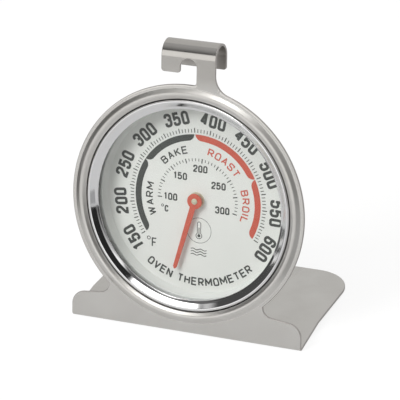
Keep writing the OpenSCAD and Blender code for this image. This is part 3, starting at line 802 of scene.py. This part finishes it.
def make_movement():
    turned_piece("front_bush", [(HOLE_R, -9, 0.05), (1.3, -9, 0.1), (1.3, DIAL_LEVEL - 0.01, 0),
                                (2.5, DIAL_LEVEL - 0.01, 0), (2.5, -7.4, 0.14), (1.5, -7.4, 0.05),
                                (1.5, -7.1, 0.1), (HOLE_R, -7.1, 0.05)],
                 CREAM, "bush_cream", "dial_bush")
    turned_piece("clinch_washer", [(1.32, -8.6, 0.05), (2.6, -8.6, 0.12), (2.6, SHELF_LEVEL, 0.05),
                                   (1.32, SHELF_LEVEL, 0.05)], BRASS, "brass", "bush_washer")
    turned_piece("front_washer", [(0.82, -7.1, 0.02), (1.4, -7.1, 0.04), (1.4, -6.95, 0.04),
                                  (0.82, -6.95, 0.02)], PLATED, "washer_steel", "pointer_washer")
    turned_piece("shoulder", [(0.76, -6.92, 0.02), (1.35, -6.92, 0.06), (1.35, POINTER_LEVEL, 0.04),
                              (0.76, POINTER_LEVEL, 0.02)], BRASS, "brass", "pointer_bush", "pointer")
    turned_piece("rear_bush", [(HOLE_R, -15.9, 0.05), (2.3, -15.9, 0.12), (2.3, CASE_BACK, 0.03),
                               (1.6, CASE_BACK, 0), (1.6, -15.05, 0), (3, -15.05, 0.03),
                               (3, -14.62, 0.12), (HOLE_R, -14.62, 0.05)],
                 BRASS, "brass", "back_bearing")
    turned_piece("rear_washer", [(0.82, -14.6, 0.02), (1.8, -14.6, 0.06), (1.8, -14.28, 0.06),
                                 (0.82, -14.28, 0.02)], PLATED, "washer_steel", "thrust_washer")
    rivet = [(0, -16), (1.15, -16), (1.15, CASE_BACK), (0.6, CASE_BACK),
             (0.6, -14.65), (1.15, -14.65), (1.15, -14.15), (0, -14.15)]
    section = fillet(rivet, [0, 0.22, 0.04, 0, 0, 0.04, 0.22, 0], closed=False, steps=4)
    bm = bmesh.new()
    for side in (1, -1):
        add_lathe(bm, section, (RIVET_X, side * RIVET_Y), closed=False, segments=48)
    finish_piece(bm, "bracket_rivets", [PLATED], "anchor_rivets")


# ---------------------------------------------------------------- printing

# Strokes of each sign in a unit box; a point with a third value is a rounded corner
BOX = [(0, 0, 1), (1, 0, 1), (1, 1, 1), (0, 1, 1), (0, 0, 1)]
SIGNS = {
    "0": [BOX], "O": [BOX],
    "1": [[(0.05, 0.80), (0.6, 1), (0.6, 0)]],
    "2": [[(0, 0.68), (0, 1, 1), (1, 1, 1), (1, 0.62, 1), (0, 0.14, 1), (0, 0), (1, 0)]],
    "3": [[(0, 0.72), (0, 1, 1), (1, 1, 1), (1, 0.54, 1), (0.4, 0.54)],
          [(0.4, 0.54), (1, 0.54, 1), (1, 0, 1), (0, 0, 1), (0, 0.28)]],
    "4": [[(1, 0.24), (0, 0.24), (0.62, 1), (0.72, 1), (0.72, 0)]],
    "5": [[(0.95, 1), (0.06, 1), (0.02, 0.5), (0.2, 0.62), (1, 0.62, 1), (1, 0, 1), (0, 0, 1),
           (0, 0.26)]],
    "6": [[(0, 0.4), (0, 0, 1), (1, 0, 1), (1, 0.58, 1), (0, 0.58, 1), (0, 0.3)],
          [(0, 0.3), (0, 1, 1), (1, 1, 1), (1, 0.76)]],
    "A": [[(0, 0), (0.5, 1), (1, 0)], [(0.2, 0.33), (0.8, 0.33)]],
    "B": [[(0, 0), (0, 1), (0.94, 1, 1), (0.94, 0.54, 1), (0, 0.54)],
          [(0, 0.54), (1, 0.54, 1), (1, 0, 1), (0, 0)]],
    "C": [[(1, 0.72), (1, 1, 1), (0, 1, 1), (0, 0, 1), (1, 0, 1), (1, 0.28)]],
    "E": [[(1, 0), (0, 0), (0, 1), (1, 1)], [(0, 0.52), (0.88, 0.52)]],
    "F": [[(0, 0), (0, 1), (1, 1)], [(0, 0.5), (0.85, 0.5)]],
    "H": [[(0, 0), (0, 1)], [(1, 0), (1, 1)], [(0, 0.52), (1, 0.52)]],
    "I": [[(0, 0), (0, 1)]],
    "K": [[(0, 0), (0, 1)], [(1, 1), (0, 0.38)], [(0.36, 0.6), (1, 0)]],
    "L": [[(0, 1), (0, 0), (1, 0)]],
    "M": [[(0, 0), (0, 1), (0.5, 0.3), (1, 1), (1, 0)]],
    "N": [[(0, 0), (0, 1), (1, 0), (1, 1)]],
    "R": [[(0, 0), (0, 1), (1, 1, 1), (1, 0.46, 1), (0, 0.46)], [(0.5, 0.46), (1, 0)]],
    "S": [[(1, 0.74), (1, 1, 1), (0, 1, 1), (0, 0.53, 1), (1, 0.47, 1), (1, 0, 1), (0, 0, 1),
           (0, 0.26)]],
    "T": [[(0, 1), (1, 1)], [(0.5, 1), (0.5, 0)]],
    "V": [[(0, 1), (0.5, 0), (1, 1)]],
    "W": [[(0, 1), (0.26, 0), (0.5, 0.9), (0.74, 0), (1, 1)]],
}
WIDTHS = {"1": 0.78, "I": 0.0, "M": 1.3, "W": 1.45, " ": 1.0}


def ribbon(points, width):
    """Triangles along a stroke of even width, every one of them anticlockwise."""
    left, right = [], []
    for i, p in enumerate(points):
        a = (p - points[i - 1]).normalized() if i else (points[1] - p).normalized()
        b = (points[i + 1] - p).normalized() if i + 1 < len(points) else a
        side = Vector((-a.y - b.y, a.x + b.x)) / max(1 + a.dot(b), 0.7)
        left.append(p + side * width / 2)
        right.append(p - side * width / 2)
    out = []
    for i in range(len(points) - 1):
        for tri in ((right[i], right[i + 1], left[i + 1]), (right[i], left[i + 1], left[i])):
            area = (tri[1] - tri[0]).cross(tri[2] - tri[0])
            if abs(area) > 1e-5:
                out.append(list(tri) if area > 0 else list(tri[::-1]))
    return out


def strokes(points, width):
    """A stroke whose very sharp corners are rounded off by a disc."""
    out, start = [], 0
    for i in range(1, len(points) - 1):
        if (points[i] - points[i - 1]).angle(points[i + 1] - points[i]) > math.radians(100):
            out += ribbon(points[start:i + 1], width)
            out.append(arc(*points[i], width / 2, 0, 330, 30))
            start = i
    return out + ribbon(points[start:], width)


def sign(letter, height, width, stroke):
    """Triangles of one sign, standing on y 0 and centred on x 0, and its own width."""
    own = WIDTHS.get(letter, 1.0) * (width - stroke)
    polygons = []
    for points in SIGNS[letter]:
        spots = [Vector((p[0] * own - own / 2, p[1] * (height - stroke) + stroke / 2))
                 for p in points]
        if points[0] == points[-1]:
            middle = (spots[0] + spots[1]) / 2
            spots = [middle, *spots[1:], middle]
            marks = [0, *[own * 0.5] * (len(points) - 1), 0]
        else:
            marks = [own * 0.5 if len(p) == 3 else 0 for p in points]
        polygons += strokes(fillet(spots, marks, closed=False, steps=7), stroke)
    return union(polygons), own + stroke


def line_of_signs(text, height, width, stroke, gap):
    """Each sign of a text with the place of its middle along the line, centred on 0."""
    row, x = [], 0.0
    for letter in text:
        if letter == " ":
            x += width * 0.75
            continue
        shape, own = sign(letter, height, width, stroke)
        row.append((shape, x + own / 2))
        x += own + gap
    middle = (x - gap) / 2
    return [(shape, place - middle) for shape, place in row]


def print_straight(bm, text, at, degrees, height, width, stroke, gap):
    """Text on a straight line, centred at a point and turned clockwise by degrees."""
    turn = Matrix.Rotation(math.radians(-degrees), 2)
    for (points, faces), x in line_of_signs(text, height, width, stroke, gap):
        spot = Vector((x, -height / 2))
        add_ink(bm, points, faces, turn, at + turn @ spot)


def print_curved(bm, text, radius, degrees, height, width, stroke, gap, inwards=False):
    """Text along a circle, centred at a dial angle; inwards turns its tops to the middle."""
    for (points, faces), x in line_of_signs(text, height, width, stroke, gap):
        lean = math.degrees(x / radius)
        angle = degrees - lean if inwards else degrees + lean
        turn = Matrix.Rotation(math.radians(180 - angle if inwards else -angle), 2)
        add_ink(bm, points, faces, turn, clock(radius, angle) - turn @ Vector((0, height / 2)))


def add_ink(bm, points, faces, move=Matrix.Identity(2), at=Vector((0, 0))):
    add_prism(bm, points, faces, DIAL_LEVEL + INK_T, DIAL_LEVEL - INK_SINK, move, at + PRINT_SHIFT)


def dial_angle(fahrenheit):
    return (fahrenheit - TOP_F) * DEG_PER_F


def add_tick(bm, degrees, r0, r1, width):
    a, b = clock(r0, degrees), clock(r1, degrees)
    side = Vector((b.y - a.y, a.x - b.x)).normalized() * width / 2
    add_ink(bm, [a - side, b - side, b + side, a + side], [[3, 2, 1, 0]])


def add_zone(bm, start, end, r_in=18.72, r_out=20.7, taper=2.0):
    """Coloured arc of the scale, whose ends sweep in towards its inner edge."""
    steps = 10
    depth = r_out - r_in
    outer = [clock(r_out, start + (end - start) * i / 60) for i in range(61)]
    tail = [(r_out - depth * math.sin(math.pi / 2 * k / steps),
             math.degrees(taper / r_in * (1 - math.cos(math.pi / 2 * k / steps))))
            for k in range(1, steps + 1)]
    inner0, inner1 = start + tail[-1][1], end - tail[-1][1]
    inner = [clock(r_in, inner1 + (inner0 - inner1) * i / 60) for i in range(1, 60)]
    outline = (outer + [clock(r, end - a) for r, a in tail] + inner
               + [clock(r, start + a) for r, a in reversed(tail)])
    add_ink(bm, *triangles(outline[::-1]))


def fahrenheit_scale(bm):
    for i in range(91):
        degrees = 150 + 5 * i
        major = degrees % 25 == 0
        add_tick(bm, dial_angle(degrees), 21.25, *((22.75, 0.32) if major else (22.4, 0.24)))


def celsius_scale(bm):
    for i in range(41):
        major = i % 5 == 0
        degrees = dial_angle((100 + 5 * i) * 1.8 + 32)
        add_tick(bm, degrees, *((11.85, 13.3, 0.34) if major else (12.3, 13.2, 0.22)))


def fahrenheit_numbers(bm):
    for value in range(150, 601, 50):
        angle = dial_angle(value)
        print_straight(bm, str(value), clock(25.8, angle + 0.5), angle + 0.5, 4.3, 2.5, 0.86, 0.40)


def celsius_numbers(bm):
    spots = {100: (-9.0, 0.0), 150: (-5.9, 7.0), 200: (0.7, 10.0), 250: (6.8, 5.4), 300: (8.2, -2.2)}
    for value, spot in spots.items():
        print_straight(bm, str(value), Vector(spot), 0, 2.3, 1.42, 0.46, 0.22)


def unit_signs(bm):
    """The two unit letters, each with a small degree ring at its upper left."""
    for letter, x, y, height in (("F", -14.2, -15.5, 3.0), ("C", -10.3, -4.0, 2.1)):
        print_straight(bm, letter, Vector((x, y)), 0, height, height * 0.58, 0.42, 0)
        ring = arc(x - height * 0.62, y + height * 0.42, height * 0.17, 0, 360, 20)
        add_ink(bm, *union(ribbon(ring, 0.22)))


def dark_words(bm):
    print_curved(bm, "WARM", 16.0, -95.5, 2.45, 1.95, 0.43, 0.55)
    print_curved(bm, "BAKE", 16.0, -30.5, 2.45, 1.95, 0.43, 0.60)
    print_curved(bm, "OVEN THERMOMETER", 26.15, 177.0, 2.65, 1.95, 0.5, 0.37, inwards=True)


def red_words(bm):
    print_curved(bm, "ROAST", 16.0, 32.8, 2.45, 1.95, 0.42, 0.58)
    print_curved(bm, "BROIL", 15.9, 90.0, 2.45, 1.95, 0.42, 0.58)


def plain_marks(bm):
    """Generic marks: a thin ring round a small thermometer sign, and three heat waves."""
    middle = Vector((0.66, -9.6))
    add_ink(bm, *union(ribbon(arc(*middle, 4.0, 0, 360, 4), 0.13)))
    stem = arc(middle.x, middle.y + 2.2, 0.55, 0, 180, 15)
    stem += arc(middle.x, middle.y - 1.7, 0.95, 126, 414, 12) + stem[:1]
    add_ink(bm, *union(ribbon(stem, 0.2)))
    add_ink(bm, *union([arc(middle.x, middle.y - 1.7, 0.5, 0, 345, 15)]))
    add_ink(bm, *union(ribbon([middle + Vector((0, -1.4)), middle + Vector((0, 0.9))], 0.26)))
    for row in range(3):
        wave = [Vector((middle.x - 2.6 + 0.2 * i, middle.y - 6.1 - 0.85 * row
                        + 0.22 * math.sin(i * math.pi / 6.5))) for i in range(27)]
        add_ink(bm, *union(ribbon(wave, 0.24)))


def dark_zones(bm):
    add_zone(bm, dial_angle(150), dial_angle(275) - 0.15)
    add_zone(bm, dial_angle(275) + 0.15, dial_angle(375) - 0.5)


def red_zones(bm):
    add_zone(bm, dial_angle(375) + 0.5, dial_angle(500) - 0.2)
    add_zone(bm, dial_angle(500) + 0.2, dial_angle(600))


def make_printing():
    dark, red = (DARK_INK, "print_dark"), (RED_INK, "print_red")
    for name, (mat, slot), draw in (
            ("scale_f", dark, fahrenheit_scale), ("scale_c", dark, celsius_scale),
            ("numbers_f", dark, fahrenheit_numbers), ("numbers_c", dark, celsius_numbers),
            ("unit_signs", dark, unit_signs), ("words_dark", dark, dark_words),
            ("words_red", red, red_words), ("plain_marks", dark, plain_marks),
            ("zones_dark", dark, dark_zones), ("zones_red", red, red_zones)):
        bm = bmesh.new()
        draw(bm)
        finish_piece(bm, name, [mat], sharp=30)


for make in (make_stand, make_rim, make_glass, make_gasket, make_spacer, make_dial, make_case,
             make_retaining_ring, make_staff, make_pointer, make_coil, make_movement, make_printing):
    make()

for node, mat in (("coil_collet", BRASS), ("coil_anchor", SPRING)):
    for slot in frame["nodes"][node].material_slots:
        slot.material = mat


# ---------------------------------------------------------------- studio

# Panels of the room: azimuth and elevation limits in degrees, width of the soft edge, brightness
PANELS = (
    (-60, 15, -8, -2, 3, 0.26),       # wall that the upper part of the sheet mirrors
    (-60, 30, -2, 36, 4, 1.02),       # bright strip over it
    (-62, 32, 38, 52, 4, 0.14),       # dark band under the softbox
    (50, 115, -45, 55, 14, 0.55),     # right wall
    (-58, 34, 53, 76, 5, 3.0),        # overhead softbox
    (-98, -52, -22, 45, 7, 0.07),     # dark screens to the left
    (-142, -104, -34, 30, 10, 0.08),
    (36, 64, -5, 48, 7, 0.02),        # dark column beside the camera
    (25, 50, 40, 53, 4, 0.02),        # and its head
    (-190, -146, 2, 60, 8, 0.60),     # back wall, on both sides of the seam
    (146, 190, 2, 60, 8, 0.60),
)
ROOM_LOW, ROOM_HIGH = 0.46, 0.60
CARD_LIFT = 0.0005


def staged(name, bm):
    """A piece of the stage, with its own empty material."""
    mesh = bpy.data.meshes.new(name)
    bm.to_mesh(mesh)
    bm.free()
    thing = bpy.data.objects.new(name, mesh)
    bpy.context.scene.collection.objects.link(thing)
    mesh.materials.append(bpy.data.materials.new(name))
    return thing, Tree(mesh.materials[0])


def make_floor():
    """Plain pale floor that looks evenly white from the camera."""
    bm = bmesh.new()
    bmesh.ops.create_grid(bm, x_segments=8, y_segments=8, size=3.0)
    _, tree = staged("floor", bm)
    seen = tree.add("LightPath").outputs["Is Camera Ray"]
    share, strength, base = (tree.ramp(seen, hidden, shown, 0, 1)
                             for hidden, shown in ((0.45, 0.82), (0.66, 1.04), (0.55, 0.95)))
    bsdf = tree.nodes["Principled BSDF"]
    bsdf.inputs["Roughness"].default_value = 0.9
    bsdf.inputs["Specular IOR Level"].default_value = 0.1
    tree.links.new(base, bsdf.inputs["Base Color"])
    glow = tree.add("Emission", {"Strength": strength})
    tree.show(tree.mix(share, bsdf.outputs[0], glow.outputs[0]))


def make_studio():
    """White room drawn by the sky shader: a mid-grey room with the panels laid over it."""
    world = bpy.data.worlds.new("studio")
    bpy.context.scene.world = world
    tree = Tree(world)
    tree.nodes.clear()
    x, y, z = tree.add("SeparateXYZ", {0: tree.add("TexCoord").outputs["Generated"]}).outputs
    around = tree.math("ARCTAN2", x, tree.math("MULTIPLY", y, -1.0))
    azimuth = tree.math("MULTIPLY", around, 180 / math.pi)
    elevation = tree.math("MULTIPLY", tree.math("ARCSINE", z), 180 / math.pi)
    light = tree.ramp(elevation, ROOM_LOW, ROOM_HIGH, -10, 60, "SMOOTHSTEP")
    for az0, az1, el0, el1, soft, level in PANELS:
        inside = 1.0
        for angle, start, end in ((azimuth, az0, az1), (elevation, el0, el1)):
            for edge, low in ((start, 0.0), (end, 1.0)):
                step = tree.ramp(angle, low, 1 - low, edge - soft / 2, edge + soft / 2, "SMOOTHSTEP")
                inside = tree.math("MULTIPLY", step, inside)
        change = tree.math("MULTIPLY", tree.math("SUBTRACT", level, light), inside)
        light = tree.math("ADD", light, change)
    room = tree.add("Background", {"Color": (1.0, 0.995, 0.98, 1), "Strength": light})
    white = tree.add("Background", {"Color": (1, 1, 1, 1), "Strength": 1.0})
    seen = tree.add("LightPath").outputs["Is Camera Ray"]
    tree.add("OutputWorld", {"Surface": tree.mix(seen, room.outputs[0], white.outputs[0])})


def mirror_only(thing, tree, strength):
    """Makes a piece of the stage a plain glow that is seen only in mirror images."""
    tree.show(tree.add("Emission", {"Strength": strength}).outputs[0])
    thing.visible_camera = thing.visible_diffuse = thing.visible_shadow = False
    thing.visible_transmission = False


def strip(rows):
    """Faces between two rows of points."""
    bm = bmesh.new()
    near, far = ([bm.verts.new(p) for p in row] for row in rows)
    for k in range(len(near) - 1):
        bm.faces.new((near[k], near[k + 1], far[k + 1], far[k]))
    return bm


def make_screen():
    """Dark strip over the hook, paler towards its top."""
    arch = arc(-ROLL_R, ROLL_Y, 25, 30, 85, 5.5)
    bm = strip([[(x, p.y, p.x) for p in arch] for x in (-26, 5)])
    bm.transform(FACE)
    screen, tree = staged("screen", bm)
    heights = [v.co.z for v in screen.data.vertices]
    place = tree.add("SeparateXYZ", {0: tree.add("TexCoord").outputs["Object"]}).outputs
    mirror_only(screen, tree, tree.ramp(place["Z"], 0.03, 0.42, min(heights), max(heights)))


def make_card(name, az0, az1, near, far, glow):
    """Darker card on the floor: a sector of azimuths, in degrees, between two distances in metres."""
    rows = [[(p.x, p.y, CARD_LIFT) for p in arc(0, 0, d, az0 - 90, az1 - 90)] for d in (near, far)]
    mirror_only(*staged(name, strip(rows)), glow)


def aimed(name, data, place, target, roll=0.0):
    """A lamp or a camera that points from one place to another."""
    thing = bpy.data.objects.new(name, data)
    bpy.context.scene.collection.objects.link(thing)
    aim = (target - place).to_track_quat("-Z", "Y").to_matrix().to_4x4()
    thing.matrix_world = Matrix.Translation(place) @ aim @ Matrix.Rotation(math.radians(roll), 4, "Z")
    return thing


def make_fill_light():
    """Large soft lamp at the upper left that lights the matt surfaces and shows in no mirror."""
    data = bpy.data.lights.new("fill", "AREA")
    data.shape, data.size, data.energy = "DISK", 0.45, 5.2
    az, el, far = math.radians(-32), math.radians(38), 0.9
    toward = Vector((math.sin(az) * math.cos(el), -math.cos(az) * math.cos(el), math.sin(el)))
    lamp = aimed("fill", data, CENTRE + toward * far, CENTRE)
    lamp.visible_glossy = lamp.visible_camera = False


def make_camera():
    """A long lens from the upper right, aimed a little off the ring's centre."""
    data = bpy.data.cameras.new("camera")
    data.lens, data.sensor_width = 238.56, 36.0
    data.clip_start, data.clip_end = 0.05, 10.0
    place, target = FACE @ Vector((299.0, 237.0, 704.1)), FACE @ Vector((4.35, 2.77, 0.0))
    bpy.context.scene.camera = aimed("camera", data, place, target, roll=-3.555)


make_floor()
make_studio()
make_screen()
make_card("card_left", -112, -58, 0.13, 0.8, 0.12)
make_card("card_right", 40, 110, 0.06, 0.7, 0.36)
make_fill_light()
make_camera()
bpy.context.scene.view_settings.view_transform = "Standard"
